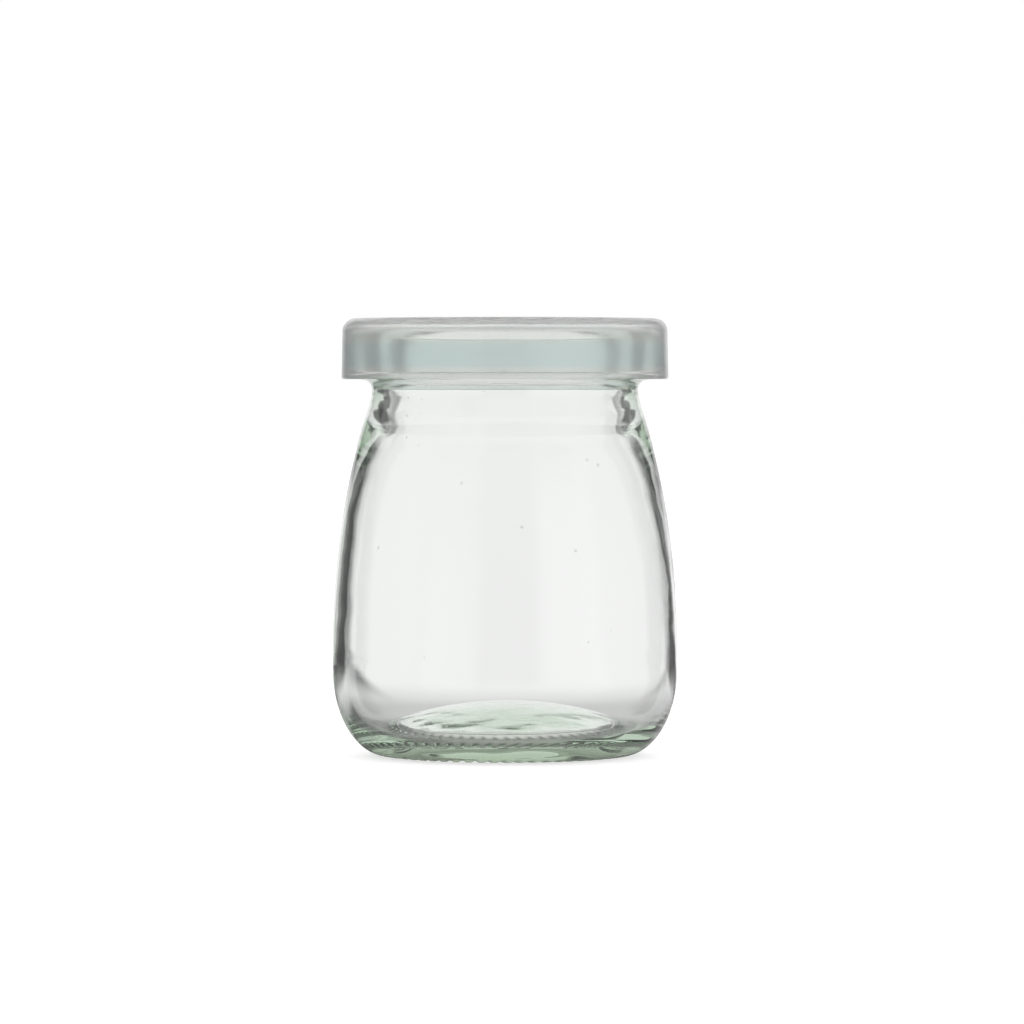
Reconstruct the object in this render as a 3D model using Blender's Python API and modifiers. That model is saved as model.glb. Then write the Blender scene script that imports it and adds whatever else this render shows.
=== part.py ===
"""Small round glass jar for puddings and yogurts, empty, with a press-on plastic lid.

Metres, +Z up. The origin is the middle of the ring that the jar stands on.
Both pieces are turned shapes: a half outline in the XZ plane, spun about Z.
Every radius and height below is in millimetres, measured from the origin.
"""

import math

import bmesh
import bpy
from mathutils import Matrix

MM = 0.001
TURN_STEPS = 60
GAP = 0.3

# Whole object
TOTAL_HEIGHT = 70.0

# Jar, outside
BELLY_RADIUS = 27.7
BELLY_LOW = 14.0
BELLY_HIGH = 16.0
STAND_OUTER_RADIUS = 19.3
STAND_INNER_RADIUS = 17.2
PUSH_UP_HEIGHT = 3.4
SHOULDER_SHRINK = 23.3
SHOULDER_RISE = 60.0
NECK_RADIUS = 21.3
NECK_LOW = 58.6
NECK_BLEND_RADIUS = 5.0
NECK_BLEND_SLOPE = 20.0
LIP_RADIUS = 24.8
LIP_UNDER_RADIUS = 1.6
LIP_EDGE_RADIUS = 2.2
RIM_ARCH_HEIGHT = 2.2

# Grip notches across the standing ring
NOTCH_COUNT = 60
NOTCH_DEPTH = 0.45
NOTCH_ROUND_RADIUS = 0.55
NOTCH_LENGTH = 6.4
NOTCH_MIDDLE_RADIUS = 18.8
NOTCH_SLANT = 20.0

# Jar, inside
FLOOR_MIDDLE_HEIGHT = 8.2
FLOOR_EDGE_HEIGHT = 3.4
FLOOR_EDGE_RADIUS = 20.6
FLOOR_ROUNDNESS = 0.85
INSIDE_RADIUS = 26.1
INSIDE_FOOT_TOP = 14.5
INSIDE_WIDEST_HEIGHT = 17.0
INSIDE_SHOULDER_CENTRE = 13.6
INSIDE_SHOULDER_RISE = 40.5
BORE_RADIUS = 18.8
BORE_CORNER_LENGTH = 1.4

# Lid
LID_TOP_RADIUS = 26.05
LID_BOTTOM_RADIUS = 26.2
LID_BOTTOM = 60.3
LID_CORNER_RADIUS = 2.0
LID_EDGE_RADIUS = 0.35
LID_PANEL_THICKNESS = 1.0
LID_RECESS_DEPTH = 0.3
LID_RECESS_RADIUS = 22.2
LID_RECESS_SLOPE = 0.6
LID_DIMPLE_RADIUS = 2.0
LID_DIMPLE_DEPTH = 0.25
LID_INNER_CORNER_RADIUS = 0.8
SNAP_BEAD_DEPTH = 0.35
SNAP_BEAD_HALF_HEIGHT = 0.45
SNAP_BEAD_HEIGHT = 60.9

# Heights and radii that follow from the sizes above
LID_PANEL_UNDERSIDE = TOTAL_HEIGHT - LID_RECESS_DEPTH - LID_PANEL_THICKNESS
RIM_TOP = LID_PANEL_UNDERSIDE - GAP
LID_BORE_RADIUS = LIP_RADIUS + GAP


def arc(centre, radii, start, end, count):
    """Points (radius, height) along an elliptical arc, both ends included, angles in degrees."""
    points = []
    for index in range(count + 1):
        angle = math.radians(start + (end - start) * index / count)
        radius = centre[0] + radii[0] * math.cos(angle)
        height = centre[1] + radii[1] * math.sin(angle)
        points.append((radius, height))
    return points


def bend(start, corner, end, count):
    """Points strictly between start and end along the soft curve that replaces a sharp corner."""
    points = []
    for index in range(1, count):
        share = index / count
        weights = ((1 - share) ** 2, 2 * share * (1 - share), share**2)
        trio = (start, corner, end)
        radius = sum(weight * point[0] for weight, point in zip(weights, trio))
        height = sum(weight * point[1] for weight, point in zip(weights, trio))
        points.append((radius, height))
    return points


def floor_points():
    """The domed floor inside, from the axis out to the groove at the foot of the wall."""
    dome = FLOOR_MIDDLE_HEIGHT - FLOOR_EDGE_HEIGHT
    steps = 6
    points = []
    for index in range(steps):
        share = math.sin(math.pi / 2 * index / steps)
        height = FLOOR_EDGE_HEIGHT + dome * (1 - share**2) ** FLOOR_ROUNDNESS
        points.append((FLOOR_EDGE_RADIUS * share, height))
    return points


def inside_wall_points():
    """Up the inside: rounded foot, curved wall, thick shoulder and straight mouth."""
    foot_centre = (FLOOR_EDGE_RADIUS, INSIDE_FOOT_TOP)
    foot_radii = (INSIDE_RADIUS - FLOOR_EDGE_RADIUS, INSIDE_FOOT_TOP - FLOOR_EDGE_HEIGHT)
    foot = arc(foot_centre, foot_radii, -90, 0, 7) + [(INSIDE_RADIUS, INSIDE_WIDEST_HEIGHT)]

    wall_centre = (INSIDE_SHOULDER_CENTRE, INSIDE_WIDEST_HEIGHT)
    wall_radii = (INSIDE_RADIUS - INSIDE_SHOULDER_CENTRE, INSIDE_SHOULDER_RISE)
    corner_angle = math.acos((BORE_RADIUS - wall_centre[0]) / wall_radii[0])
    corner = (BORE_RADIUS, wall_centre[1] + wall_radii[1] * math.sin(corner_angle))
    soft_radius = BORE_RADIUS + BORE_CORNER_LENGTH
    soft_angle = math.degrees(math.acos((soft_radius - wall_centre[0]) / wall_radii[0]))
    wall = arc(wall_centre, wall_radii, 0, soft_angle, 8)[1:]

    bore_start = (BORE_RADIUS, corner[1] + BORE_CORNER_LENGTH)
    return foot + wall + bend(wall[-1], corner, bore_start, 3) + [bore_start]


def rim_points():
    """The rounded bead round the mouth, from the bore over the top to the outside of the lip."""
    half_width = (LIP_RADIUS - BORE_RADIUS) / 2
    centre = (BORE_RADIUS + half_width, RIM_TOP - RIM_ARCH_HEIGHT)
    return arc(centre, (half_width, RIM_ARCH_HEIGHT), 180, 0, 8)


def lip_underside_points():
    """The lip's round lower edge, which runs into the hollow curve above the neck."""
    hollow_centre = (NECK_RADIUS + LIP_UNDER_RADIUS, NECK_LOW)
    edge_centre_radius = LIP_RADIUS - LIP_EDGE_RADIUS
    across = edge_centre_radius - hollow_centre[0]
    between = LIP_UNDER_RADIUS + LIP_EDGE_RADIUS
    edge_centre = (edge_centre_radius, hollow_centre[1] + math.sqrt(between**2 - across**2))
    touch = math.degrees(math.atan2(edge_centre[1] - hollow_centre[1], across))
    edge = arc(edge_centre, (LIP_EDGE_RADIUS, LIP_EDGE_RADIUS), 0, touch - 180, 4)
    hollow = arc(hollow_centre, (LIP_UNDER_RADIUS, LIP_UNDER_RADIUS), touch, 180, 4)
    return edge + hollow[1:]


def outside_wall_points():
    """Down the outside: neck, sloping shoulder, belly and rounded heel."""
    blend_centre = (NECK_RADIUS + NECK_BLEND_RADIUS, NECK_LOW)
    blend_radii = (NECK_BLEND_RADIUS, NECK_BLEND_RADIUS)
    neck = arc(blend_centre, blend_radii, 180, 180 + NECK_BLEND_SLOPE, 2)[1:]

    shoulder_centre = (BELLY_RADIUS - SHOULDER_SHRINK, BELLY_HIGH)
    shoulder_radii = (SHOULDER_SHRINK, SHOULDER_RISE)
    rise = math.degrees(math.asin((neck[-1][1] - BELLY_HIGH) / SHOULDER_RISE))
    shoulder = arc(shoulder_centre, shoulder_radii, rise, 0, 8)[1:]

    heel_centre = (STAND_OUTER_RADIUS, BELLY_LOW)
    heel_radii = (BELLY_RADIUS - STAND_OUTER_RADIUS, BELLY_LOW)
    heel = arc(heel_centre, heel_radii, 0, -90, 8)
    return neck + shoulder + heel


def push_up_points():
    """The shallow dome under the base, from the standing ring in to the axis."""
    return arc((0, 0), (STAND_INNER_RADIUS, PUSH_UP_HEIGHT), 0, 90, 5)


def lid_points():
    """The lid's outline: top panel, outer wall, lower edge, snap bead and inside."""
    panel_top = TOTAL_HEIGHT - LID_RECESS_DEPTH
    dimple_bottom = panel_top - LID_DIMPLE_DEPTH
    top = [(0.0, dimple_bottom), (LID_DIMPLE_RADIUS - LID_DIMPLE_DEPTH, dimple_bottom)]
    top += [(LID_DIMPLE_RADIUS, panel_top), (LID_RECESS_RADIUS, panel_top)]
    top.append((LID_RECESS_RADIUS + LID_RECESS_SLOPE, TOTAL_HEIGHT))

    corner_centre = (LID_TOP_RADIUS - LID_CORNER_RADIUS, TOTAL_HEIGHT - LID_CORNER_RADIUS)
    corner = arc(corner_centre, (LID_CORNER_RADIUS, LID_CORNER_RADIUS), 90, 0, 5)

    edge_centre = (LID_BOTTOM_RADIUS - LID_EDGE_RADIUS, LID_BOTTOM + LID_EDGE_RADIUS)
    lower_edge = arc(edge_centre, (LID_EDGE_RADIUS, LID_EDGE_RADIUS), 0, -90, 2)

    bead_centre = (LID_BORE_RADIUS, SNAP_BEAD_HEIGHT)
    bead_radii = (SNAP_BEAD_DEPTH, SNAP_BEAD_HALF_HEIGHT)
    bead = arc(bead_centre, bead_radii, 270, 90, 4)

    corner_size = LID_INNER_CORNER_RADIUS
    inner_centre = (LID_BORE_RADIUS - corner_size, LID_PANEL_UNDERSIDE - corner_size)
    inner_corner = arc(inner_centre, (corner_size, corner_size), 0, 90, 2)
    return top + corner + lower_edge + bead + inner_corner + [(0.0, LID_PANEL_UNDERSIDE)]


def make_material(name, colour, roughness, transmission, index_of_refraction):
    """A see-through or milky surface with no metal in it."""
    material = bpy.data.materials.new(name)
    material.use_nodes = True
    surface = material.node_tree.nodes["Principled BSDF"]
    surface.inputs["Base Color"].default_value = (*colour, 1.0)
    surface.inputs["Metallic"].default_value = 0.0
    surface.inputs["Roughness"].default_value = roughness
    surface.inputs["IOR"].default_value = index_of_refraction
    surface.inputs["Transmission Weight"].default_value = transmission
    return material


def turned(name, outline, material, collection, parent):
    """One closed solid, made by turning an open outline whose two ends lie on the Z axis."""
    points = [(radius * MM, 0.0, height * MM) for radius, height in outline]
    edges = [(index, index + 1) for index in range(len(points) - 1)]
    mesh = bpy.data.meshes.new(name)
    mesh.from_pydata(points, edges, [])
    mesh.materials.append(material)
    piece = bpy.data.objects.new(name, mesh)
    piece.parent = parent
    collection.objects.link(piece)

    screw = piece.modifiers.new("turn", "SCREW")
    screw.axis = "Z"
    screw.angle = math.tau
    screw.steps = TURN_STEPS
    screw.render_steps = TURN_STEPS
    screw.use_merge_vertices = True
    screw.merge_threshold = 0.00005
    screw.use_smooth_shade = True
    return piece


def make_notch_cutter(collection):
    """Sixty slanted round bars that lie across the standing ring, one midway between two facets."""
    shape = bmesh.new()
    lay_down = Matrix.Rotation(math.radians(90), 4, "Y")
    slant = Matrix.Rotation(math.radians(NOTCH_SLANT), 4, "Z")
    place = Matrix.Translation((NOTCH_MIDDLE_RADIUS * MM, 0, (NOTCH_DEPTH - NOTCH_ROUND_RADIUS) * MM))
    for index in range(NOTCH_COUNT):
        turn = Matrix.Rotation(math.tau * (index + 0.5) / NOTCH_COUNT, 4, "Z")
        bmesh.ops.create_cone(
            shape,
            cap_ends=True,
            segments=8,
            radius1=NOTCH_ROUND_RADIUS * MM,
            radius2=NOTCH_ROUND_RADIUS * MM,
            depth=NOTCH_LENGTH * MM,
            matrix=turn @ place @ slant @ lay_down,
        )
    mesh = bpy.data.meshes.new("notch_cutter")
    shape.to_mesh(mesh)
    shape.free()
    cutter = bpy.data.objects.new("notch_cutter", mesh)
    cutter.hide_render = True
    cutter.display_type = "WIRE"
    collection.objects.link(cutter)
    return cutter


def make_jar(collection, parent, cutter):
    """The glass jar, whose outline runs from the floor inside to the push-up underneath."""
    outline = floor_points() + inside_wall_points() + rim_points()
    outline += lip_underside_points() + outside_wall_points() + push_up_points()
    glass = make_material("clear_glass", (0.93, 0.97, 0.95), 0.02, 1.0, 1.52)
    jar = turned("glass_jar", outline, glass, collection, parent)
    notches = jar.modifiers.new("grip_notches", "BOOLEAN")
    notches.operation = "DIFFERENCE"
    notches.solver = "EXACT"
    notches.object = cutter
    return jar


def make_lid(collection, parent):
    """The press-on lid, held by a small bead that snaps under the lip of the jar."""
    plastic = make_material("milky_plastic", (0.80, 0.82, 0.80), 0.45, 0.6, 1.5)
    return turned("press_on_lid", lid_points(), plastic, collection, parent)


def clear_scene():
    """Removes whatever the scene holds before the model is made."""
    for thing in list(bpy.data.objects):
        bpy.data.objects.remove(thing, do_unlink=True)


def main():
    clear_scene()
    parts = bpy.data.collections.new("pudding_jar")
    cutters = bpy.data.collections.new("cutters")
    bpy.context.scene.collection.children.link(parts)
    bpy.context.scene.collection.children.link(cutters)
    stand_centre = bpy.data.objects.new("stand_centre", None)
    parts.objects.link(stand_centre)
    make_jar(parts, stand_centre, make_notch_cutter(cutters))
    make_lid(parts, stand_centre)


main()
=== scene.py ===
# %% [markdown]
# A small glass jar for one portion of pudding, shut with a milky press-on lid.
#
# The jar is one piece of pressed glass. Glass has hardly a look of its own. What the eye
# reads as glass is a clean, bright middle, dark broken lines where the inner wall turns away
# from it, and a green cast where the light has a long way to go through the thick base.
#
# That could be painted on, but it would slide and look false from any other side. So the
# shapes below are made with their true walls, inside and outside, the studio has bright
# panels with dark gaps between them, and refraction is left to draw the lines.
#
# The frame comes first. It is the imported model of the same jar, and every piece made here
# takes its place and its outer sizes from it.

# %% Load the frame
import math

import bmesh
import bpy
from mathutils import Matrix, Vector, noise


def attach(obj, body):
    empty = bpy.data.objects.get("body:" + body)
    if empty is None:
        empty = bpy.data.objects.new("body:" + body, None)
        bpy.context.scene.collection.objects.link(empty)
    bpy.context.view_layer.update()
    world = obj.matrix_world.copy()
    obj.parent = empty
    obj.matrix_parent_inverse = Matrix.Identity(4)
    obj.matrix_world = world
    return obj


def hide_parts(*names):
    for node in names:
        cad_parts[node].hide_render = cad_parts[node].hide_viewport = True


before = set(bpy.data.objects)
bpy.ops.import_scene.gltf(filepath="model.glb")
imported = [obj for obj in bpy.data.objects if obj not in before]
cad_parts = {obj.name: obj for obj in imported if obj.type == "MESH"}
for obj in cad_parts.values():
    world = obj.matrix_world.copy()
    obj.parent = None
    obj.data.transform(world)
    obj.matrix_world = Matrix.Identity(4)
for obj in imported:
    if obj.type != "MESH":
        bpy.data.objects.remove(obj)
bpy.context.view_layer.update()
MM = 0.001
scene = bpy.context.scene
print("frame nodes:", sorted(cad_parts))

# %% [markdown]
# The photograph was taken with a long lens from a little under a metre away, with the camera
# level with the lower edge of the lid. In the picture the sides of the standing ring hang
# 10 pixels above its front. That gives the angle at which the camera looks down on the base,
# and with it the distance. Lens and distance together fix how many pixels a millimetre takes.
#
# The camera could be shifted to move the jar in the picture. A small turn does the same here
# and keeps every other view simple.

# %% Camera
FRAME_PIXELS = 1024
PIXELS_PER_METRE = 6230.0
CAMERA_DISTANCE = 0.858
CAMERA_HEIGHT = 0.0602
JAR_AXIS_PIXEL_X = 505.0
HORIZON_PIXEL_Y = 379.7

focal_pixels = PIXELS_PER_METRE * CAMERA_DISTANCE
camera_data = bpy.data.cameras.new("photo_camera")
camera_data.sensor_width = 36.0
camera_data.lens = focal_pixels * camera_data.sensor_width / FRAME_PIXELS
camera_data.clip_start = 0.01
camera_data.clip_end = 20.0
camera = bpy.data.objects.new("photo_camera", camera_data)
scene.collection.objects.link(camera)
scene.camera = camera

sideways = (FRAME_PIXELS / 2 - JAR_AXIS_PIXEL_X) / PIXELS_PER_METRE
pitch_down = math.atan((FRAME_PIXELS / 2 - HORIZON_PIXEL_Y) / focal_pixels)
camera.location = (sideways, -CAMERA_DISTANCE, CAMERA_HEIGHT)
camera.rotation_euler = (math.radians(90) - pitch_down, 0.0, 0.0)
print(f"lens {camera_data.lens:.0f} mm, looking down {math.degrees(pitch_down):.2f} degrees")

# %% [markdown]
# The Standard view transform shows white as white, as a product shot has it. Light that is
# caught in the thick base and neck bounces many times before it gets out, and each bounce
# that is cut short leaves a black spot. So glass gets more bounces than Blender's twelve.

# %% View transform and bounces
MAX_BOUNCES = 24
GLASS_BOUNCES = 20

scene.view_settings.view_transform = "Standard"
scene.cycles.max_bounces = MAX_BOUNCES
scene.cycles.glossy_bounces = GLASS_BOUNCES
scene.cycles.transmission_bounces = GLASS_BOUNCES
print("bounces for glass:", GLASS_BOUNCES, "of", MAX_BOUNCES)

# %% [markdown]
# The studio's light is a set of greys that change with direction or with distance. Each is a
# colour ramp with soft steps. The helper takes pairs of a value and a grey level, in the
# value's own unit, and spreads them over the ramp's own range from 0 to 1.

# %% A grey ramp
def grey_ramp(tree, source, low, high, stops):
    """A grey ramp over source, from (value, level) pairs, with values from low to high."""
    span = tree.nodes.new("ShaderNodeMapRange")
    span.inputs["From Min"].default_value = low
    span.inputs["From Max"].default_value = high
    tree.links.new(source, span.inputs["Value"])
    ramp = tree.nodes.new("ShaderNodeValToRGB")
    ramp.color_ramp.interpolation = "EASE"
    tree.links.new(span.outputs["Result"], ramp.inputs["Fac"])
    elements = ramp.color_ramp.elements
    while len(elements) > 1:
        elements.remove(elements[0])
    for index, (value, level) in enumerate(stops):
        place = (value - low) / (high - low)
        element = elements[0] if index == 0 else elements.new(place)
        element.position = place
        element.color = (level, level, level, 1.0)
    return ramp.outputs["Color"]


print("grey ramps blend with soft steps")

# %% [markdown]
# Product shots of glass are lit from behind. A white panel fills the view behind the jar and
# shines through it, and the dark room on both sides of the panel draws the dark lines.
#
# Each panel is a stretch of bearings. Bearing 0 is straight behind the jar, and plus is to
# the right. Behind the jar it is bright to about 20 degrees each way, then comes a dark gap
# to about 47 degrees, then bright side panels, then the softer light round the camera.
#
# World and table use the same idea, so it is a node group, built once for each set of stops.

# %% Panels by bearing
DARK_GAP = 0.08
WHITE_PANEL = 0.93
LEFT_SIDE_STOPS = ((-180, 0.45), (-125, 0.7), (-110, 0.85), (-54, 0.8), (-47, DARK_GAP))
BEHIND_STOPS = ((-23, DARK_GAP), (-18, WHITE_PANEL), (21, WHITE_PANEL))
RIGHT_SIDE_STOPS = ((26, 0.1), (44, 0.1), (51, 0.8), (110, 0.8))
FRONT_RIGHT_STOPS = ((118, 1.0), (152, 1.0), (165, 0.5), (180, 0.5))
PANEL_STOPS = LEFT_SIDE_STOPS + BEHIND_STOPS + RIGHT_SIDE_STOPS + FRONT_RIGHT_STOPS
BACKDROP_LEAN = 0.1


def make_panel_group(name, panel_stops, lean):
    """Brightness by bearing, for a point or a ray. Lean tips the panels' edges sideways."""
    group = bpy.data.node_groups.new(name, "ShaderNodeTree")
    group.interface.new_socket("Direction", in_out="INPUT", socket_type="NodeSocketVector")
    group.interface.new_socket("Level", in_out="OUTPUT", socket_type="NodeSocketColor")
    inlet = group.nodes.new("NodeGroupInput")
    outlet = group.nodes.new("NodeGroupOutput")
    split = group.nodes.new("ShaderNodeSeparateXYZ")
    group.links.new(inlet.outputs["Direction"], split.inputs["Vector"])
    bearing = group.nodes.new("ShaderNodeMath")
    bearing.operation = "ARCTAN2"
    group.links.new(split.outputs["X"], bearing.inputs[0])
    group.links.new(split.outputs["Y"], bearing.inputs[1])
    leaning = group.nodes.new("ShaderNodeMath")
    leaning.operation = "MULTIPLY_ADD"
    leaning.inputs[1].default_value = lean
    group.links.new(split.outputs["Z"], leaning.inputs[0])
    group.links.new(bearing.outputs["Value"], leaning.inputs[2])
    stops = [(math.radians(degrees), level) for degrees, level in panel_stops]
    level = grey_ramp(group, leaning.outputs["Value"], -math.pi, math.pi, stops)
    group.links.new(level, outlet.inputs["Level"])
    return group


backdrop_panels = make_panel_group("backdrop_panels", PANEL_STOPS, BACKDROP_LEAN)
table_panels = make_panel_group("table_panels", PANEL_STOPS, 0.0)
print("stops round the jar:", len(PANEL_STOPS))

# %% [markdown]
# A camera ray that misses the jar sees plain white paper. Every other ray sees the panels,
# and over them a bright ceiling, which fades in above about 25 degrees.

# %% World
CEILING_STOPS = ((-1.0, 0.0), (0.38, 0.0), (0.55, 0.85), (0.75, 1.0))
CEILING_LEVEL = 0.95

world = bpy.data.worlds.new("studio")
scene.world = world
world.use_nodes = True
world_tree = world.node_tree
world_tree.nodes.clear()
world_out = world_tree.nodes.new("ShaderNodeOutputWorld")
paper = world_tree.nodes.new("ShaderNodeBackground")
paper.inputs["Color"].default_value = (1.0, 1.0, 1.0, 1.0)
studio_light = world_tree.nodes.new("ShaderNodeBackground")
ray = world_tree.nodes.new("ShaderNodeLightPath")
choose = world_tree.nodes.new("ShaderNodeMixShader")
world_tree.links.new(ray.outputs["Is Camera Ray"], choose.inputs["Fac"])
world_tree.links.new(studio_light.outputs["Background"], choose.inputs[1])
world_tree.links.new(paper.outputs["Background"], choose.inputs[2])
world_tree.links.new(choose.outputs["Shader"], world_out.inputs["Surface"])

direction = world_tree.nodes.new("ShaderNodeTexCoord")
split = world_tree.nodes.new("ShaderNodeSeparateXYZ")
panels = world_tree.nodes.new("ShaderNodeGroup")
panels.node_tree = backdrop_panels
world_tree.links.new(direction.outputs["Generated"], split.inputs["Vector"])
world_tree.links.new(direction.outputs["Generated"], panels.inputs["Direction"])
ceiling = grey_ramp(world_tree, split.outputs["Z"], -1.0, 1.0, CEILING_STOPS)
above = world_tree.nodes.new("ShaderNodeMix")
above.data_type = "RGBA"
above.inputs["B"].default_value = (CEILING_LEVEL, CEILING_LEVEL, CEILING_LEVEL, 1.0)
world_tree.links.new(ceiling, above.inputs["Factor"])
world_tree.links.new(panels.outputs["Level"], above.inputs["A"])
world_tree.links.new(above.outputs["Result"], studio_light.inputs["Color"])
print("world nodes:", len(world_tree.nodes))

# %% [markdown]
# The table is a wide disc a hair below the jar. A plane would do as well, but a disc has no
# corners that could show in a reflection.

# %% Table
TABLE_RADIUS = 4.0
TABLE_SIDES = 96
TABLE_DROP = 0.15 * MM

table_shape = bmesh.new()
bmesh.ops.create_circle(table_shape, cap_ends=True, segments=TABLE_SIDES, radius=TABLE_RADIUS)
bmesh.ops.translate(table_shape, verts=table_shape.verts, vec=(0, 0, -TABLE_DROP))
table_mesh = bpy.data.meshes.new("table")
table_shape.to_mesh(table_mesh)
table_shape.free()
table = bpy.data.objects.new("table", table_mesh)
scene.collection.objects.link(table)
print("table radius", TABLE_RADIUS, "m")

# %% [markdown]
# The camera sees the table as pale paper with the jar's soft shadow on it.
#
# Rays that come out of the jar low down meet the table close by, where a real jar shades its
# own paper. The paper's glow does that here: it is darkest in a ring where the jar stands and
# brightens outwards, with a darker side, until the panels take over a hand's width away. In
# the middle, right under the jar, the darker side fades out again, so that its bearings don't
# meet there in a point.

# %% Paper on the table and its glow
PAPER_GREY = 0.6
PAPER_ROUGHNESS = 0.7
PAPER_SHINE = 0.2
PAPER_GLOW = 0.66
TABLE_REACH = 0.3
NEAR_RING_STOPS = ((0.0, 0.8), (0.0145, 0.8), (0.0175, 0.33), (0.0215, 0.36), (0.026, 0.58))
NEAR_FIELD_STOPS = ((0.045, 0.58), (0.08, 0.75), (0.16, 0.86), (0.3, 0.9))
PANEL_REACH_STOPS = ((0.0, 0.0), (0.06, 0.0), (0.13, 1.0), (0.3, 1.0))
SHADE_REACH_STOPS = ((0.0, 0.0), (0.006, 0.0), (0.016, 1.0), (0.035, 1.0), (0.07, 0.0), (0.3, 0.0))
LEFT_SHADE_STOPS = ((-180, 0.95), (-140, 0.8), (-110, 0.3), (-75, 0.25), (-60, 0.9))
RIGHT_SHADE_STOPS = ((-40, 1.0), (70, 1.0), (100, 0.6), (140, 0.8), (180, 0.95))

paper_material = bpy.data.materials.new("white_paper")
paper_material.use_nodes = True
tree = paper_material.node_tree
paper_surface = tree.nodes["Principled BSDF"]
paper_surface.inputs["Base Color"].default_value = (PAPER_GREY, PAPER_GREY, PAPER_GREY, 1.0)
paper_surface.inputs["Roughness"].default_value = PAPER_ROUGHNESS
paper_surface.inputs["Specular IOR Level"].default_value = PAPER_SHINE
paper_surface.inputs["Emission Color"].default_value = (1.0, 1.0, 1.0, 1.0)
paper_surface.inputs["Emission Strength"].default_value = PAPER_GLOW

place = tree.nodes.new("ShaderNodeTexCoord")
distance = tree.nodes.new("ShaderNodeVectorMath")
distance.operation = "LENGTH"
tree.links.new(place.outputs["Object"], distance.inputs[0])
reach = distance.outputs["Value"]
near = grey_ramp(tree, reach, 0.0, TABLE_REACH, NEAR_RING_STOPS + NEAR_FIELD_STOPS)
shade_reach = grey_ramp(tree, reach, 0.0, TABLE_REACH, SHADE_REACH_STOPS)
panel_reach = grey_ramp(tree, reach, 0.0, TABLE_REACH, PANEL_REACH_STOPS)


def panel_levels(group):
    """The brightness that a panel group gives for each point of the table."""
    node = tree.nodes.new("ShaderNodeGroup")
    node.node_tree = group
    tree.links.new(place.outputs["Object"], node.inputs["Direction"])
    return node.outputs["Level"]


def mix_greys(blend_type, factor, first, second):
    """Mixes two brightness patterns of the table by a third."""
    mix = tree.nodes.new("ShaderNodeMix")
    mix.data_type = "RGBA"
    mix.blend_type = blend_type
    tree.links.new(factor, mix.inputs["Factor"])
    tree.links.new(first, mix.inputs["A"])
    tree.links.new(second, mix.inputs["B"])
    return mix.outputs["Result"]


side_shade = make_panel_group("side_shade", LEFT_SHADE_STOPS + RIGHT_SHADE_STOPS, 0.0)
shaded = mix_greys("MULTIPLY", shade_reach, near, panel_levels(side_shade))
glow_level = mix_greys("MIX", panel_reach, shaded, panel_levels(table_panels))
glow = tree.nodes.new("ShaderNodeEmission")
seen = tree.nodes.new("ShaderNodeLightPath")
choose = tree.nodes.new("ShaderNodeMixShader")
tree.links.new(glow_level, glow.inputs["Color"])
tree.links.new(seen.outputs["Is Camera Ray"], choose.inputs["Fac"])
tree.links.new(glow.outputs["Emission"], choose.inputs[1])
tree.links.new(paper_surface.outputs["BSDF"], choose.inputs[2])
tree.links.new(choose.outputs["Shader"], tree.nodes["Material Output"].inputs["Surface"])
table_mesh.materials.append(paper_material)
print("nodes in the table's paper:", len(tree.nodes))

# %% [markdown]
# Jar and lid are turned shapes, so each is half an outline that is spun about the axis.
# A drawing of such a piece is made of round and straight stretches, so helpers give those:
# points along an arc, along a line, and round a soft corner. The last number of each call is
# the spacing in mm. It is tight, because glass shows every flat between two points as a kink
# in what is seen through it, and just wide enough for a piece of under 200,000 triangles.

# %% Stretches of an outline
def arc(centre, radii, start, end, spacing):
    """Points in mm along an elliptical arc, from the start to the end angle in degrees."""
    sweep = math.radians(abs(end - start))
    mean_radius = math.hypot(*radii) / math.sqrt(2)
    count = max(2, round(sweep * mean_radius / spacing))
    points = []
    for index in range(count + 1):
        angle = math.radians(start + (end - start) * index / count)
        radius = centre[0] + radii[0] * math.cos(angle)
        height = centre[1] + radii[1] * math.sin(angle)
        points.append((radius, height))
    return points


def line(start, end, spacing):
    """Points in mm from start towards end, without the end itself."""
    count = max(1, round(math.dist(start, end) / spacing))
    points = []
    for index in range(count):
        share = index / count
        points.append(tuple(a + (b - a) * share for a, b in zip(start, end)))
    return points


def soft_corner(start, corner, end, count):
    """Points strictly between start and end on the curve that rounds off a corner."""
    points = []
    for index in range(1, count):
        share = index / count
        weights = ((1 - share) ** 2, 2 * share * (1 - share), share**2)
        trio = (start, corner, end)
        radius = sum(weight * point[0] for weight, point in zip(weights, trio))
        height = sum(weight * point[1] for weight, point in zip(weights, trio))
        points.append((radius, height))
    return points


print("a quarter round of 1 mm has", len(arc((0, 0), (1, 1), 0, 90, 0.2)), "points")

# %% [markdown]
# A full spin in one go would do, but the operator searches all it has made at each step, and
# it gets slow with many steps. So one eighth is spun, and three times the piece so far is
# copied and turned: by one, two and four eighths. Merging the doubles closes the seams and
# the poles, and then the normals are set to point outwards.
#
# Points at the start of the outline can be marked as the inner wall. Spin and duplicate copy
# the mark along, so the inner wall can be found again later.

# %% Turning an outline
SEAM_DISTANCE = 0.002 * MM


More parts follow.
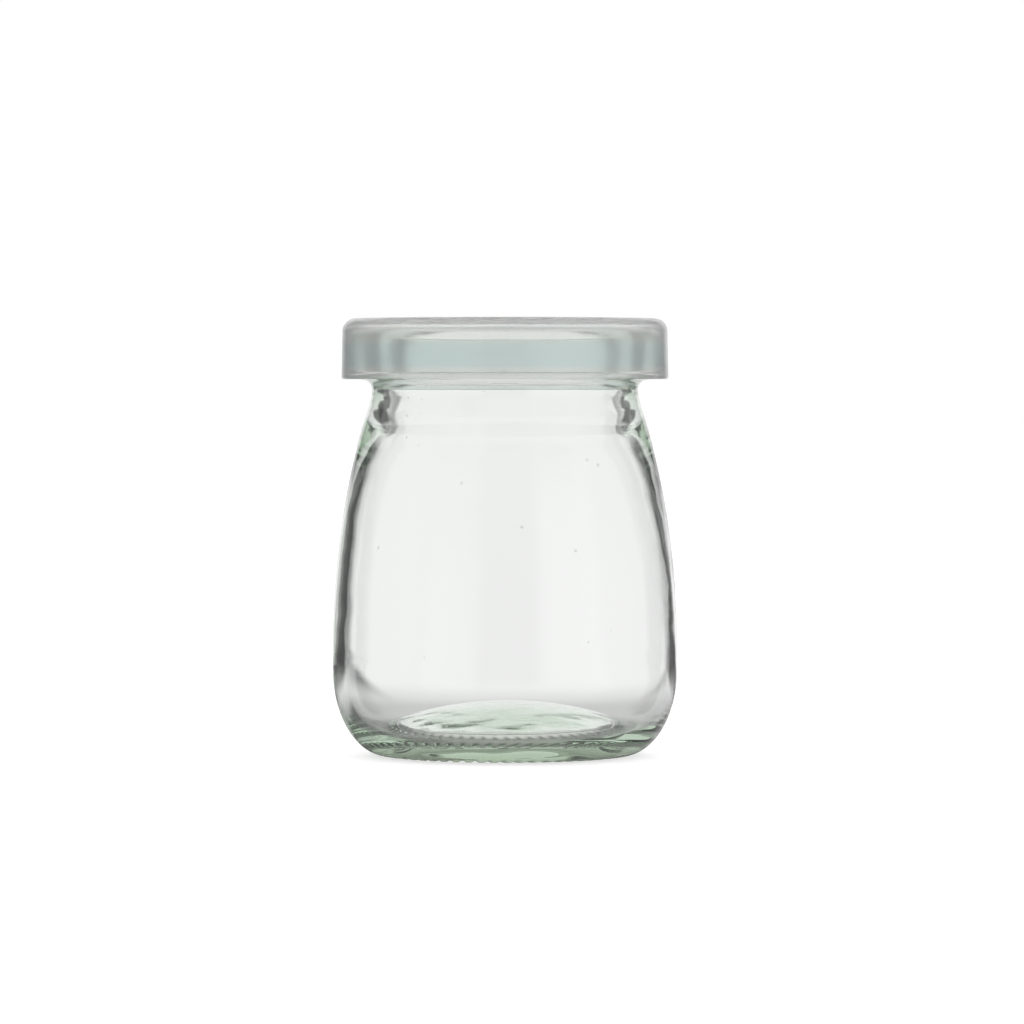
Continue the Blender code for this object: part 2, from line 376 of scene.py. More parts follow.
def spin_outline(points, steps, inner_count=0):
    """A closed shape from an outline in mm that is turned about Z in that many steps."""
    shape = bmesh.new()
    inner_mark = shape.verts.layers.int.new("inner_wall")
    verts = [shape.verts.new((radius * MM, 0.0, height * MM)) for radius, height in points]
    edges = [shape.edges.new(pair) for pair in zip(verts, verts[1:])]
    for vert in verts[:inner_count]:
        vert[inner_mark] = 1
    sector = math.tau / 8
    bmesh.ops.spin(
        shape,
        geom=verts + edges,
        cent=(0, 0, 0),
        axis=(0, 0, 1),
        dvec=(0, 0, 0),
        angle=sector,
        steps=steps // 8,
        use_merge=False,
        use_duplicate=False,
    )
    for turn in (sector, 2 * sector, 4 * sector):
        everything = shape.verts[:] + shape.edges[:] + shape.faces[:]
        copied = bmesh.ops.duplicate(shape, geom=everything)["geom"]
        moved = [item for item in copied if isinstance(item, bmesh.types.BMVert)]
        bmesh.ops.rotate(shape, verts=moved, cent=(0, 0, 0), matrix=Matrix.Rotation(turn, 3, "Z"))
    bmesh.ops.remove_doubles(shape, verts=shape.verts, dist=SEAM_DISTANCE)
    bmesh.ops.recalc_face_normals(shape, faces=shape.faces)
    return shape


print("seams closer than", SEAM_DISTANCE, "m are merged")

# %% [markdown]
# Each finished shape becomes a smooth piece at the origin, with its place in its mesh. It
# rides on the jar's one body, stands for its node of the frame, and takes a material slot.

# %% From shape to piece
def finish_piece(name, shape, material, node):
    """Makes a shape a smooth piece that stands for a node of the frame."""
    open_edges = sum(1 for edge in shape.edges if not edge.is_manifold)
    mesh = bpy.data.meshes.new(name)
    shape.to_mesh(mesh)
    shape.free()
    mesh.shade_smooth()
    mesh.materials.append(material)
    piece = bpy.data.objects.new(name, mesh)
    scene.collection.objects.link(piece)
    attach(piece, "root")
    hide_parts(node)
    mesh.calc_loop_triangles()
    print(name, "triangles:", len(mesh.loop_triangles), "open edges:", open_edges)


# %% [markdown]
# The jar's sizes in millimetres: the outside from the rim downwards, then the inside from the
# mouth downwards. The outside was read from the photo's silhouette. The inside can't be seen
# directly, but the dark line in the picture stands where the line of sight just touches the
# inner wall, so its place gives the inner radius at each height: a wall of 1.6 mm in the
# belly, and a thick shoulder and neck.

# %% Sizes of the jar
TOTAL_HEIGHT = 70.0
RIM_TOP = 68.4
RIM_ARCH_HEIGHT = 2.2
LIP_RADIUS = 24.8
LIP_EDGE_RADIUS = 2.2
LIP_UNDER_RADIUS = 1.6
NECK_RADIUS = 21.3
NECK_LOW = 58.6
NECK_BLEND_RADIUS = 5.0
NECK_BLEND_SLOPE = 20.0
SHOULDER_RISE = 60.0
SHOULDER_SHRINK = 23.3
BELLY_RADIUS = 27.7
BELLY_HIGH = 16.0
BELLY_LOW = 14.0
STAND_OUTER_RADIUS = 19.3
STAND_INNER_RADIUS = 17.2
PUSH_UP_HEIGHT = 3.4
BORE_RADIUS = 18.8
BORE_CORNER_LENGTH = 1.4
INSIDE_SHOULDER_RISE = 40.5
INSIDE_SHOULDER_CENTRE = 13.6
SOFT_CORNER_STEPS = 5
INSIDE_RADIUS = 26.1
INSIDE_WIDEST_HEIGHT = 17.0
INSIDE_FOOT_TOP = 14.5
FLOOR_EDGE_RADIUS = 20.6
FLOOR_EDGE_HEIGHT = 3.4
FLOOR_MIDDLE_HEIGHT = 8.2
FLOOR_ROUNDNESS = 0.85
FLOOR_STEPS = 18
print("wall in the belly:", round(BELLY_RADIUS - INSIDE_RADIUS, 2), "mm")
print("glass in the middle of the base:", round(FLOOR_MIDDLE_HEIGHT - PUSH_UP_HEIGHT, 2), "mm")

# %% [markdown]
# Inside, from the axis outwards: the plunger that presses such a jar has a hollow nose, so it
# leaves a domed floor with a groove round it. Then comes the rounded foot, the wall, and the
# shoulder, which is an upright ellipse that leans in to the mouth. Where it meets the
# straight bore the corner is soft: a curve with three control points, the middle one at the
# sharp corner, gives that.

# %% Inside of the jar
def floor_outline():
    """The domed floor, from the axis to the groove at its edge."""
    dome = FLOOR_MIDDLE_HEIGHT - FLOOR_EDGE_HEIGHT
    points = []
    for index in range(FLOOR_STEPS):
        share = index / FLOOR_STEPS
        height = FLOOR_EDGE_HEIGHT + dome * (1 - share**2) ** FLOOR_ROUNDNESS
        points.append((FLOOR_EDGE_RADIUS * share, height))
    return points


def inside_wall_outline():
    """Up the inside: rounded foot, curved wall, soft corner and straight bore."""
    foot_centre = (FLOOR_EDGE_RADIUS, INSIDE_FOOT_TOP)
    foot_radii = (INSIDE_RADIUS - FLOOR_EDGE_RADIUS, INSIDE_FOOT_TOP - FLOOR_EDGE_HEIGHT)
    foot = arc(foot_centre, foot_radii, -90, 0, 0.75)
    upright = line(foot[-1], (INSIDE_RADIUS, INSIDE_WIDEST_HEIGHT), 0.85)[1:]

    wall_centre = (INSIDE_SHOULDER_CENTRE, INSIDE_WIDEST_HEIGHT)
    wall_radii = (INSIDE_RADIUS - INSIDE_SHOULDER_CENTRE, INSIDE_SHOULDER_RISE)
    corner_angle = math.acos((BORE_RADIUS - wall_centre[0]) / wall_radii[0])
    corner = (BORE_RADIUS, wall_centre[1] + wall_radii[1] * math.sin(corner_angle))
    soft_radius = BORE_RADIUS + BORE_CORNER_LENGTH
    soft_angle = math.degrees(math.acos((soft_radius - wall_centre[0]) / wall_radii[0]))
    wall = arc(wall_centre, wall_radii, 0, soft_angle, 0.85)

    bore_start = (BORE_RADIUS, corner[1] + BORE_CORNER_LENGTH)
    corner_points = soft_corner(wall[-1], corner, bore_start, SOFT_CORNER_STEPS)
    bore = line(bore_start, (BORE_RADIUS, RIM_TOP - RIM_ARCH_HEIGHT), 1.1)
    return foot + upright + wall + corner_points + bore


inner_points = floor_outline() + inside_wall_outline()
print("inside outline points:", len(inner_points))

# %% [markdown]
# Outside, from the mouth down: the rim is a low arch. Below it the lip's round edge runs into
# a hollow curve and on into the neck, two arcs that touch. The neck flares into the shoulder,
# one long ellipse down to the belly, and the heel is another ellipse. Underneath, the middle
# is pushed up, so that the jar stands on a ring.

# %% Outside of the jar
def rim_outline():
    """The rounded rim, from the bore over the top to the outside of the lip."""
    half_width = (LIP_RADIUS - BORE_RADIUS) / 2
    centre = (BORE_RADIUS + half_width, RIM_TOP - RIM_ARCH_HEIGHT)
    return arc(centre, (half_width, RIM_ARCH_HEIGHT), 180, 0, 0.8)


def lip_outline():
    """Down the side of the lip, round its lower edge and through the hollow to the neck."""
    hollow_centre = (NECK_RADIUS + LIP_UNDER_RADIUS, NECK_LOW)
    edge_centre_radius = LIP_RADIUS - LIP_EDGE_RADIUS
    across = edge_centre_radius - hollow_centre[0]
    between = LIP_UNDER_RADIUS + LIP_EDGE_RADIUS
    edge_centre = (edge_centre_radius, NECK_LOW + math.sqrt(between**2 - across**2))
    touch = math.degrees(math.atan2(edge_centre[1] - NECK_LOW, across))
    side = line((LIP_RADIUS, RIM_TOP - RIM_ARCH_HEIGHT), (LIP_RADIUS, edge_centre[1]), 1.0)[1:]
    edge = arc(edge_centre, (LIP_EDGE_RADIUS, LIP_EDGE_RADIUS), 0, touch - 180, 0.6)
    hollow = arc(hollow_centre, (LIP_UNDER_RADIUS, LIP_UNDER_RADIUS), touch, 180, 0.4)[1:]
    return side + edge + hollow


def body_outline():
    """Down the neck, the shoulder and the belly, and round the heel to the standing ring."""
    blend_centre = (NECK_RADIUS + NECK_BLEND_RADIUS, NECK_LOW)
    blend_radii = (NECK_BLEND_RADIUS, NECK_BLEND_RADIUS)
    neck = arc(blend_centre, blend_radii, 180, 180 + NECK_BLEND_SLOPE, 0.5)[1:]
    shoulder_centre = (BELLY_RADIUS - SHOULDER_SHRINK, BELLY_HIGH)
    shoulder_top = math.degrees(math.asin((neck[-1][1] - BELLY_HIGH) / SHOULDER_RISE))
    shoulder = arc(shoulder_centre, (SHOULDER_SHRINK, SHOULDER_RISE), shoulder_top, 0, 0.95)[1:]
    belly = line((BELLY_RADIUS, BELLY_HIGH), (BELLY_RADIUS, BELLY_LOW), 1.0)[1:]
    heel_centre = (STAND_OUTER_RADIUS, BELLY_LOW)
    heel_radii = (BELLY_RADIUS - STAND_OUTER_RADIUS, BELLY_LOW)
    return neck + shoulder + belly + arc(heel_centre, heel_radii, 0, -90, 0.62)


def underside_outline():
    """Across the standing ring and up the shallow dome to the axis."""
    ring = line((STAND_OUTER_RADIUS, 0.0), (STAND_INNER_RADIUS, 0.0), 0.4)[1:]
    return ring + arc((0, 0), (STAND_INNER_RADIUS, PUSH_UP_HEIGHT), 0, 90, 1.0)


outer_points = rim_outline() + lip_outline() + body_outline() + underside_outline()
print("outside outline points:", len(outer_points))

# %% [markdown]
# Now the whole outline is turned. With 480 steps each flat is a third of a millimetre wide at
# the belly, too narrow to show as a facet.

# %% Spin the jar
JAR_STEPS = 480

jar_shape = spin_outline(inner_points + outer_points, JAR_STEPS, len(inner_points))
print("jar points:", len(jar_shape.verts), "faces:", len(jar_shape.faces))

# %% [markdown]
# The ring the jar stands on is cut by slanted grooves, which keep the hot jar from sticking
# and from slipping. They could be cut with a boolean, but there are sixty, and the ring has
# points enough: each point inside a groove is lifted to the groove's depth instead.
#
# How deep each point went is written to an attribute. The glass material uses it to paint
# shade into the grooves, darker the deeper they go.

# %% Notches in the standing ring
NOTCH_COUNT = 60
NOTCH_DEPTH = 0.45
NOTCH_MIDDLE_RADIUS = 18.8
NOTCH_LENGTH = 6.4
NOTCH_SLANT = math.radians(20)
NOTCH_SHARE = 0.6
NOTCH_TOP = 1.6
NOTCH_END_STEEPNESS = 3.0


def notch_depth_at(radius, angle):
    """How deep the notches cut, in mm, at a radius in mm and an angle round the ring."""
    reach = abs(radius - NOTCH_MIDDLE_RADIUS) / (NOTCH_LENGTH / 2)
    twist = math.tan(NOTCH_SLANT) * (radius - NOTCH_MIDDLE_RADIUS) / NOTCH_MIDDLE_RADIUS
    place = (angle - twist) / math.tau * NOTCH_COUNT - 0.5
    across = abs(place - round(place)) / (NOTCH_SHARE / 2)
    if reach >= 1 or across >= 1:
        return 0.0
    end_fade = min(1.0, NOTCH_END_STEEPNESS * (1 - reach))
    return NOTCH_DEPTH * math.cos(across * math.pi / 2) * end_fade


def cut_notches(shape):
    """Lifts the points of the ring into the notches, and notes how deep each one went."""
    depth_note = shape.verts.layers.float.new("notch_depth")
    inner_mark = shape.verts.layers.int["inner_wall"]
    count = 0
    for vert in shape.verts:
        if vert[inner_mark] or vert.co.z > NOTCH_TOP * MM:
            continue
        radius = math.hypot(vert.co.x, vert.co.y) / MM
        depth = notch_depth_at(radius, math.atan2(vert.co.y, vert.co.x))
        if depth > 0:
            vert.co.z = max(vert.co.z, depth * MM)
            vert[depth_note] = depth / NOTCH_DEPTH
            count += 1
    return count


print("points lifted into notches:", cut_notches(jar_shape))

# %% [markdown]
# The mould leaves the outside smooth. The plunger leaves the inside less true: it stood a
# little to the right, so the left wall is thicker, and the glass drew back in shallow waves
# as it cooled. The floor and the underside have shallow dents as well. All of that is under
# a third of a millimetre, but it is what breaks the dark lines and makes the base glitter.
#
# A bump texture would only tilt the shading. Moving the points bends the light for real,
# from any side. Blender's noise gives smooth waves that are the same at each run.

# %% Marks of pressing
PLUNGER_LEAN = 0.3
LEAN_FADE = (25, 46)
SLOW_WAVE = Vector((60.0, 60.0, 150.0))
QUICK_WAVE = Vector((120.0, 120.0, 520.0))
SLOW_SIZE_LOW = 0.05
SLOW_SIZE_HIGH = 0.03
QUICK_SIZE_LOW = 0.03
QUICK_SIZE_HIGH = 0.02
HIGH_FADE = (42, 50)
FOOT_FADE = (9, 18)
MOUTH_FADE = (63, 65.5)
FLOOR_WAVE = Vector((200.0, 260.0, 0.0))
FLOOR_DENT = 0.05
FLOOR_FADE = (17, FLOOR_EDGE_RADIUS)
UNDERSIDE_WAVE = Vector((260.0, 420.0, 0.0))
UNDERSIDE_DENT = 0.05
UNDERSIDE_FADE = (14, 16.5)
SLOW_OFFSET = 0.0
QUICK_OFFSET = 7.0
FLOOR_OFFSET = 11.0
UNDERSIDE_OFFSET = 3.0
SLACK = 0.1


def smooth_step(value, low, high):
    """0 below low, 1 above high, and a soft rise between."""
    share = min(1.0, max(0.0, (value - low) / (high - low)))
    return share * share * (3 - 2 * share)


def wave(point, scale, offset):
    """Smooth noise between about -1 and 1, with its own scale along each axis."""
    place = Vector((point.x * scale.x, point.y * scale.y, point.z * scale.z + offset))
    return noise.noise(place)


def wall_wave(point):
    """How far the inner wall is from true, in mm. It fades out at the foot and the mouth."""
    height = point.z / MM
    high = smooth_step(height, *HIGH_FADE)
    slow_size = SLOW_SIZE_LOW + (SLOW_SIZE_HIGH - SLOW_SIZE_LOW) * high
    quick_size = QUICK_SIZE_LOW + (QUICK_SIZE_HIGH - QUICK_SIZE_LOW) * high
    slow = slow_size * wave(point, SLOW_WAVE, SLOW_OFFSET)
    quick = quick_size * wave(point, QUICK_WAVE, QUICK_OFFSET)
    fade = smooth_step(height, *FOOT_FADE) * (1 - smooth_step(height, *MOUTH_FADE))
    return fade * (slow + quick)


def press_inner_wall(shape):
    """Moves the points of the inner wall and floor, and counts them."""
    inner_mark = shape.verts.layers.int["inner_wall"]
    count = 0
    for vert in shape.verts:
        if not vert[inner_mark]:
            continue
        radius = math.hypot(vert.co.x, vert.co.y) / MM
        height = vert.co.z / MM
        if radius < FLOOR_EDGE_RADIUS and height < FLOOR_MIDDLE_HEIGHT + SLACK:
            fade = 1 - smooth_step(radius, *FLOOR_FADE)
            vert.co.z += FLOOR_DENT * fade * wave(vert.co, FLOOR_WAVE, FLOOR_OFFSET) * MM
        else:
            scale = 1 + wall_wave(vert.co) / radius
            vert.co.x *= scale
            vert.co.y *= scale
        vert.co.x += PLUNGER_LEAN * (1 - smooth_step(height, *LEAN_FADE)) * MM
        count += 1
    return count


def dent_underside(shape):
    """Moves the points of the dome under the base, and counts them."""
    inner_mark = shape.verts.layers.int["inner_wall"]
    highest = (PUSH_UP_HEIGHT + SLACK) * MM
    count = 0
    for vert in shape.verts:
        radius = math.hypot(vert.co.x, vert.co.y) / MM
        if vert[inner_mark] or radius > UNDERSIDE_FADE[1] or vert.co.z > highest:
            continue
        fade = 1 - smooth_step(radius, *UNDERSIDE_FADE)
        dent = UNDERSIDE_DENT * fade * wave(vert.co, UNDERSIDE_WAVE, UNDERSIDE_OFFSET)
        vert.co.z += dent * MM
        count += 1
    return count


print("points of the underside moved:", dent_underside(jar_shape))
print("points of the inner wall moved:", press_inner_wall(jar_shape))

# %% [markdown]
# Both finishes show light handling: soft smears and tiny specks. That is one effect with
# other sizes, so it is a node group with its scales as inputs. It gives two masks and a
# height, and each material decides what they do.

# %% Handling marks
SMEAR_DETAIL = 4.0
SMEAR_DISTORTION = 0.8
SMEAR_EDGES = (0.4, 0.75)
SPECK_EDGES = (0.05, 0.02)


def make_handling_marks():
    """Masks for smears and specks and a soft height, from a point and two scales."""
    group = bpy.data.node_groups.new("handling_marks", "ShaderNodeTree")
    face = group.interface
    face.new_socket("Point", in_out="INPUT", socket_type="NodeSocketVector")
    face.new_socket("Smear Scale", in_out="INPUT", socket_type="NodeSocketFloat")
    face.new_socket("Speck Scale", in_out="INPUT", socket_type="NodeSocketFloat")
    face.new_socket("Smears", in_out="OUTPUT", socket_type="NodeSocketFloat")
    face.new_socket("Specks", in_out="OUTPUT", socket_type="NodeSocketFloat")
    face.new_socket("Height", in_out="OUTPUT", socket_type="NodeSocketFloat")
    inlet = group.nodes.new("NodeGroupInput")
    outlet = group.nodes.new("NodeGroupOutput")

    smear = group.nodes.new("ShaderNodeTexNoise")
    smear.inputs["Detail"].default_value = SMEAR_DETAIL
    smear.inputs["Distortion"].default_value = SMEAR_DISTORTION
    group.links.new(inlet.outputs["Point"], smear.inputs["Vector"])
    group.links.new(inlet.outputs["Smear Scale"], smear.inputs["Scale"])
    soft = group.nodes.new("ShaderNodeMapRange")
    soft.inputs["From Min"].default_value = SMEAR_EDGES[0]
    soft.inputs["From Max"].default_value = SMEAR_EDGES[1]
    group.links.new(smear.outputs["Fac"], soft.inputs["Value"])
    group.links.new(soft.outputs["Result"], outlet.inputs["Smears"])
    group.links.new(smear.outputs["Fac"], outlet.inputs["Height"])

    speck = group.nodes.new("ShaderNodeTexVoronoi")
    group.links.new(inlet.outputs["Point"], speck.inputs["Vector"])
    group.links.new(inlet.outputs["Speck Scale"], speck.inputs["Scale"])
    dot = group.nodes.new("ShaderNodeMapRange")
    dot.inputs["From Min"].default_value = SPECK_EDGES[0]
    dot.inputs["From Max"].default_value = SPECK_EDGES[1]
    group.links.new(speck.outputs["Distance"], dot.inputs["Value"])
    group.links.new(dot.outputs["Result"], outlet.inputs["Specks"])
    return group


handling_marks = make_handling_marks()
print("handling marks:", [item.name for item in handling_marks.interface.items_tree])

# %% [markdown]
# Both materials are wired alike: the marks are placed on Object coordinates, masks are mapped
# to a range, and one colour is mixed over another. These helpers keep each material short.

# %% Wiring helpers
def place_marks(material, smear_scale, speck_scale):
    """Puts the handling marks into a material, and returns the height above the table too."""
    nodes = material.node_tree.nodes
    links = material.node_tree.links
    point = nodes.new("ShaderNodeTexCoord")
    marks = nodes.new("ShaderNodeGroup")
    marks.node_tree = handling_marks
    marks.inputs["Smear Scale"].default_value = smear_scale
    marks.inputs["Speck Scale"].default_value = speck_scale
    links.new(point.outputs["Object"], marks.inputs["Point"])
    split = nodes.new("ShaderNodeSeparateXYZ")
    links.new(point.outputs["Object"], split.inputs["Vector"])
    return marks.outputs, split.outputs["Z"]


def map_value(material, source, from_range, to_range):
    """Maps a value from one range to another, and holds it there."""
    span = material.node_tree.nodes.new("ShaderNodeMapRange")
    span.inputs["From Min"].default_value = from_range[0]
    span.inputs["From Max"].default_value = from_range[1]
    span.inputs["To Min"].default_value = to_range[0]
    span.inputs["To Max"].default_value = to_range[1]
    material.node_tree.links.new(source, span.inputs["Value"])
    return span.outputs["Result"]


def mix_over(material, mask, under, colour, share=1.0):
    """Mixes a colour over a plain colour or a socket, by a mask and up to a share."""
    links = material.node_tree.links
    mix = material.node_tree.nodes.new("ShaderNodeMix")
    mix.data_type = "RGBA"
    mix.inputs["B"].default_value = (*colour, 1.0)
    if isinstance(under, tuple):
        mix.inputs["A"].default_value = (*under, 1.0)
    else:
        links.new(under, mix.inputs["A"])
    links.new(map_value(material, mask, (0.0, 1.0), (0.0, share)), mix.inputs["Factor"])
    return mix.outputs["Result"]


def add_bump(material, height, strength, depth):
    """Feeds a height into the normal of a material's surface."""
    bump = material.node_tree.nodes.new("ShaderNodeBump")
    bump.inputs["Strength"].default_value = strength
    bump.inputs["Distance"].default_value = depth
    surface = material.node_tree.nodes["Principled BSDF"]
    material.node_tree.links.new(height, bump.inputs["Height"])
    material.node_tree.links.new(bump.outputs["Normal"], surface.inputs["Normal"])


print("helpers for materials are ready")

# %% [markdown]
# Plain bottle glass is clear in a thin wall and green in a thick one, because iron in it takes
# a little of the red and blue along the way. A tint on the surface would colour both alike, so
# the colour sits in the volume, as absorption.
#
# The surface stays smooth and almost clean. Low on the heel the glass is painted darker
# towards the table, as painted shade where the jar stands, and darkest in the notches, as
# painted shade in the grooves.

# %% Glass
GLASS_IOR = 1.52
GLASS_ABSORBS = (0.59, 0.77, 0.585)
GLASS_DENSITY = 22.0
HEEL_SHADE_TOP = 3.2 * MM
HEEL_SHADE_LOW = 0.4 * MM
CLEAR = (1.0, 1.0, 1.0)
HEEL_PAINTED_SHADE = (0.52, 0.57, 0.46)
NOTCH_PAINTED_SHADE = (0.03, 0.04, 0.04)
SPECK_GREY = (0.35, 0.38, 0.36)
GLASS_SMEAR_SCALE = 55.0
GLASS_SPECK_SCALE = 110.0
GLASS_SPECK_SHARE = 0.7
GLASS_ROUGHNESS = (0.0, 0.012)
GLASS_BUMP = 0.1
GLASS_BUMP_DEPTH = 0.02 * MM

glass = bpy.data.materials.new("bottle_glass")
glass.use_nodes = True
glass_nodes = glass.node_tree.nodes
glass_links = glass.node_tree.links
glass_surface = glass_nodes["Principled BSDF"]
glass_surface.inputs["IOR"].default_value = GLASS_IOR
glass_surface.inputs["Transmission Weight"].default_value = 1.0
absorption = glass_nodes.new("ShaderNodeVolumeAbsorption")
absorption.inputs["Color"].default_value = (*GLASS_ABSORBS, 1.0)
absorption.inputs["Density"].default_value = GLASS_DENSITY
glass_links.new(absorption.outputs["Volume"], glass_nodes["Material Output"].inputs["Volume"])

glass_marks, glass_height = place_marks(glass, GLASS_SMEAR_SCALE, GLASS_SPECK_SCALE)
notch = glass_nodes.new("ShaderNodeAttribute")
notch.attribute_name = "notch_depth"
# Painted shade: the heel darkens from 3.2 mm down to 0.4 mm above the table.
heel_shade_mask = map_value(glass, glass_height, (HEEL_SHADE_TOP, HEEL_SHADE_LOW), (0.0, 1.0))
heel_shaded_glass = mix_over(glass, heel_shade_mask, CLEAR, HEEL_PAINTED_SHADE)
# Painted shade: the notches darken with their depth, nearly to black.
notch_shaded_glass = mix_over(glass, notch.outputs["Fac"], heel_shaded_glass, NOTCH_PAINTED_SHADE)
specks = glass_marks["Specks"]
specked_glass = mix_over(glass, specks, notch_shaded_glass, SPECK_GREY, GLASS_SPECK_SHARE)
glass_links.new(specked_glass, glass_surface.inputs["Base Color"])
glass_roughness = map_value(glass, glass_marks["Smears"], (0.0, 1.0), GLASS_ROUGHNESS)
glass_links.new(glass_roughness, glass_surface.inputs["Roughness"])
add_bump(glass, glass_marks["Height"], GLASS_BUMP, GLASS_BUMP_DEPTH)

finish_piece("clear_jar", jar_shape, glass, "glass_jar")
print("glass nodes:", len(glass_nodes))

# %% [markdown]
# The lid is one moulded piece of polyethylene, 1 mm thick. Its top is sunk a little inside a
# rim, with the small dimple of the moulding gate in the middle. The wall ends in a rounded
# edge, and a bead just inside it snaps under the lip.

# %% Sizes of the lid
LID_TOP_RADIUS = 26.05
LID_BOTTOM_RADIUS = 26.2
LID_BOTTOM = 60.3
LID_CORNER_RADIUS = 2.0
LID_EDGE_RADIUS = 0.35
LID_PANEL_THICKNESS = 1.0
LID_RECESS_DEPTH = 0.3
LID_RECESS_RADIUS = 22.2
LID_RECESS_SLOPE = 0.6
LID_DIMPLE_RADIUS = 2.0
LID_DIMPLE_DEPTH = 0.25
LID_BORE_RADIUS = 25.1
LID_INNER_CORNER_RADIUS = 0.8
SNAP_BEAD_DEPTH = 0.35
SNAP_BEAD_HALF_HEIGHT = 0.45
SNAP_BEAD_HEIGHT = 60.9
LID_STEPS = 360
LID_PANEL_TOP = TOTAL_HEIGHT - LID_RECESS_DEPTH
LID_PANEL_UNDERSIDE = LID_PANEL_TOP - LID_PANEL_THICKNESS
print("gap between lid and rim:", round(LID_PANEL_UNDERSIDE - RIM_TOP, 2), "mm")

# %% [markdown]
# The lid could be a capped cylinder with bevelled edges. As an outline its dimple, sunk panel,
# bead and inner corner come in the same go, and the wall has its true thickness.

# %% Outline of the lid
def lid_top_outline():
    """From the dimple over the sunk panel and the rim to the start of the outer corner."""
    dimple_floor = LID_PANEL_TOP - LID_DIMPLE_DEPTH
    dimple_foot = (LID_DIMPLE_RADIUS - LID_DIMPLE_DEPTH, dimple_floor)
    dimple_edge = (LID_DIMPLE_RADIUS, LID_PANEL_TOP)
    recess_edge = (LID_RECESS_RADIUS, LID_PANEL_TOP)
    rim_start = (LID_RECESS_RADIUS + LID_RECESS_SLOPE, TOTAL_HEIGHT)
    dimple = line((0.0, dimple_floor), dimple_foot, 0.4) + line(dimple_foot, dimple_edge, 0.1)
    panel = line(dimple_edge, recess_edge, 1.2) + line(recess_edge, rim_start, 0.3)
    return dimple + panel + line(rim_start, (LID_TOP_RADIUS - LID_CORNER_RADIUS, TOTAL_HEIGHT), 0.5)


def lid_wall_outline():
    """Round the outer corner, down the wall, over the snap bead and up inside to the axis."""
    corner_centre = (LID_TOP_RADIUS - LID_CORNER_RADIUS, TOTAL_HEIGHT - LID_CORNER_RADIUS)
    corner = arc(corner_centre, (LID_CORNER_RADIUS, LID_CORNER_RADIUS), 90, 0, 0.3)
    edge_centre = (LID_BOTTOM_RADIUS - LID_EDGE_RADIUS, LID_BOTTOM + LID_EDGE_RADIUS)
    side = line(corner[-1], (LID_BOTTOM_RADIUS, edge_centre[1]), 0.6)[1:]
    edge = arc(edge_centre, (LID_EDGE_RADIUS, LID_EDGE_RADIUS), 0, -90, 0.15)
    bead_radii = (SNAP_BEAD_DEPTH, SNAP_BEAD_HALF_HEIGHT)
    bead = arc((LID_BORE_RADIUS, SNAP_BEAD_HEIGHT), bead_radii, 270, 90, 0.15)
    inner_radius = LID_BORE_RADIUS - LID_INNER_CORNER_RADIUS
    inner_centre = (inner_radius, LID_PANEL_UNDERSIDE - LID_INNER_CORNER_RADIUS)
    bore = line(bead[-1], (LID_BORE_RADIUS, inner_centre[1]), 0.6)[1:]
    inner_corner = arc(inner_centre, (LID_INNER_CORNER_RADIUS, LID_INNER_CORNER_RADIUS), 0, 90, 0.2)
    under = line(inner_corner[-1], (0.0, LID_PANEL_UNDERSIDE), 1.2)[1:]
    return corner + side + edge + bead + bore + inner_corner + under + [(0.0, LID_PANEL_UNDERSIDE)]


lid_points = lid_top_outline() + lid_wall_outline()
print("lid outline points:", len(lid_points))

# %% [markdown]
# Milky polyethylene lets most light through but scatters it on the way. Subsurface scattering
# would do it, slowly and with noise. A transmission with a rough surface gives the same soft
# look through a thin wall: the glass lip still shows through it, out of focus.
#
# In a band at the height of the glass lip the plastic is painted a little blue and grey, as
# painted shade of the lip seen through the wall. Elsewhere it is cloudy white, with a few
# scuffs, and a fine unevenness left by the mould.

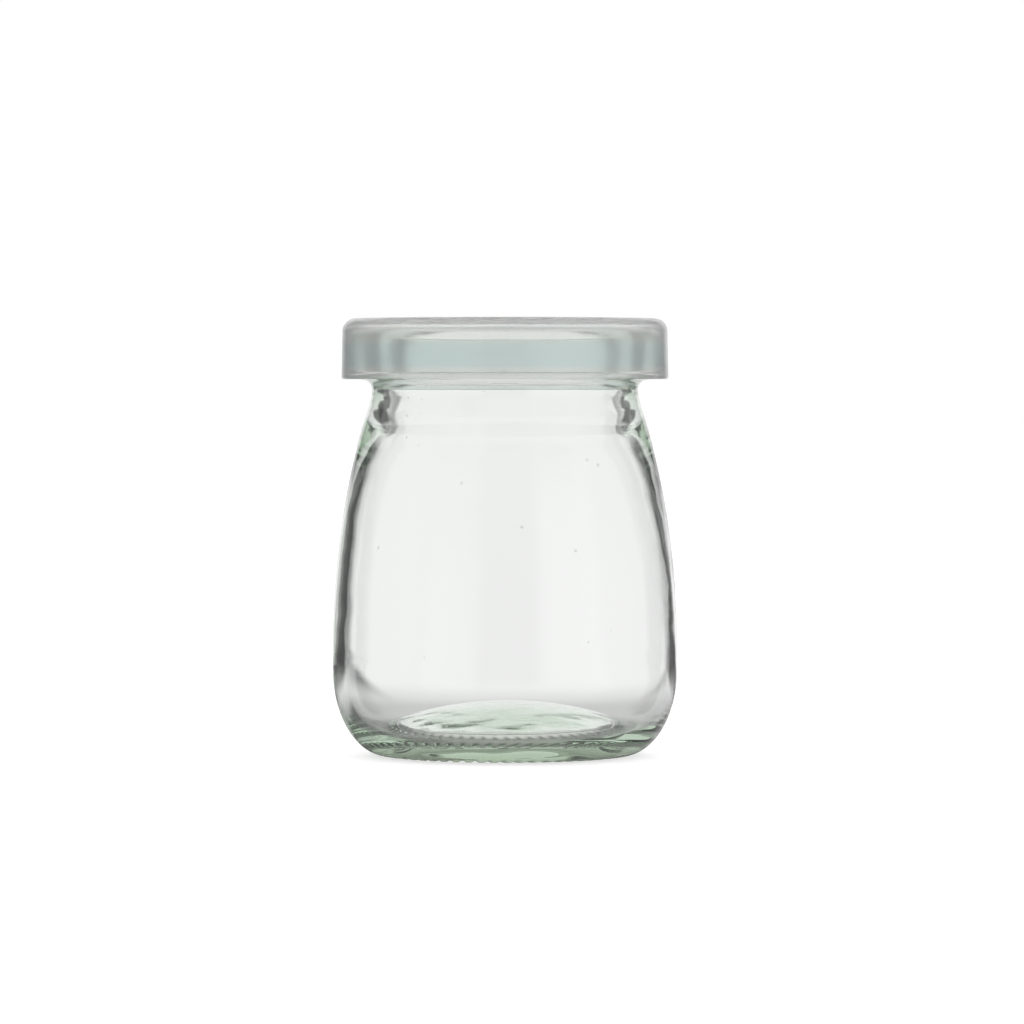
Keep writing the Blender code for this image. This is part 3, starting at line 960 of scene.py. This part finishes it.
# %% Milky plastic
LID_IOR = 1.25
LID_TRANSMISSION = 0.85
MILKY_WHITE = (0.995, 0.998, 0.99)
CLOUD_GREY = (0.93, 0.955, 0.95)
LIP_PAINTED_SHADE = (0.9, 0.96, 0.965)
SCUFF_GREY = (0.7, 0.74, 0.74)
LIP_SHADE_LOW = 61.8 * MM
LIP_SHADE_HIGH = 66.4 * MM
LIP_SHADE_SOFTNESS = 0.9 * MM
LID_SMEAR_SCALE = 70.0
LID_SPECK_SCALE = 420.0
LID_SPECK_SHARE = 0.5
LID_ROUGHNESS = (0.19, 0.27)
LID_BUMP = 0.2
LID_BUMP_DEPTH = 0.05 * MM

plastic = bpy.data.materials.new("milky_polyethylene")
plastic.use_nodes = True
plastic_nodes = plastic.node_tree.nodes
plastic_links = plastic.node_tree.links
plastic_surface = plastic_nodes["Principled BSDF"]
plastic_surface.inputs["IOR"].default_value = LID_IOR
plastic_surface.inputs["Transmission Weight"].default_value = LID_TRANSMISSION

plastic_marks, level = place_marks(plastic, LID_SMEAR_SCALE, LID_SPECK_SCALE)
# Painted shade: a blue-grey band on the lid from 61.8 mm to 66.4 mm, where the glass lip shows
# through.
over_low = map_value(plastic, level, (LIP_SHADE_LOW, LIP_SHADE_LOW + LIP_SHADE_SOFTNESS), (0.0, 1.0))
under_high = map_value(plastic, level, (LIP_SHADE_HIGH, LIP_SHADE_HIGH - LIP_SHADE_SOFTNESS), (0.0, 1.0))
lip_shade_band = plastic_nodes.new("ShaderNodeMath")
lip_shade_band.operation = "MULTIPLY"
plastic_links.new(over_low, lip_shade_band.inputs[0])
plastic_links.new(under_high, lip_shade_band.inputs[1])
clouded = mix_over(plastic, plastic_marks["Smears"], MILKY_WHITE, CLOUD_GREY)
lip_shaded_white = mix_over(plastic, lip_shade_band.outputs["Value"], clouded, LIP_PAINTED_SHADE)
scuffs = plastic_marks["Specks"]
scuffed_white = mix_over(plastic, scuffs, lip_shaded_white, SCUFF_GREY, LID_SPECK_SHARE)
plastic_links.new(scuffed_white, plastic_surface.inputs["Base Color"])
plastic_roughness = map_value(plastic, plastic_marks["Smears"], (0.0, 1.0), LID_ROUGHNESS)
plastic_links.new(plastic_roughness, plastic_surface.inputs["Roughness"])
add_bump(plastic, plastic_marks["Height"], LID_BUMP, LID_BUMP_DEPTH)

lid_shape = spin_outline(lid_points, LID_STEPS)
finish_piece("milky_lid", lid_shape, plastic, "press_on_lid")
print("plastic nodes:", len(plastic_nodes))
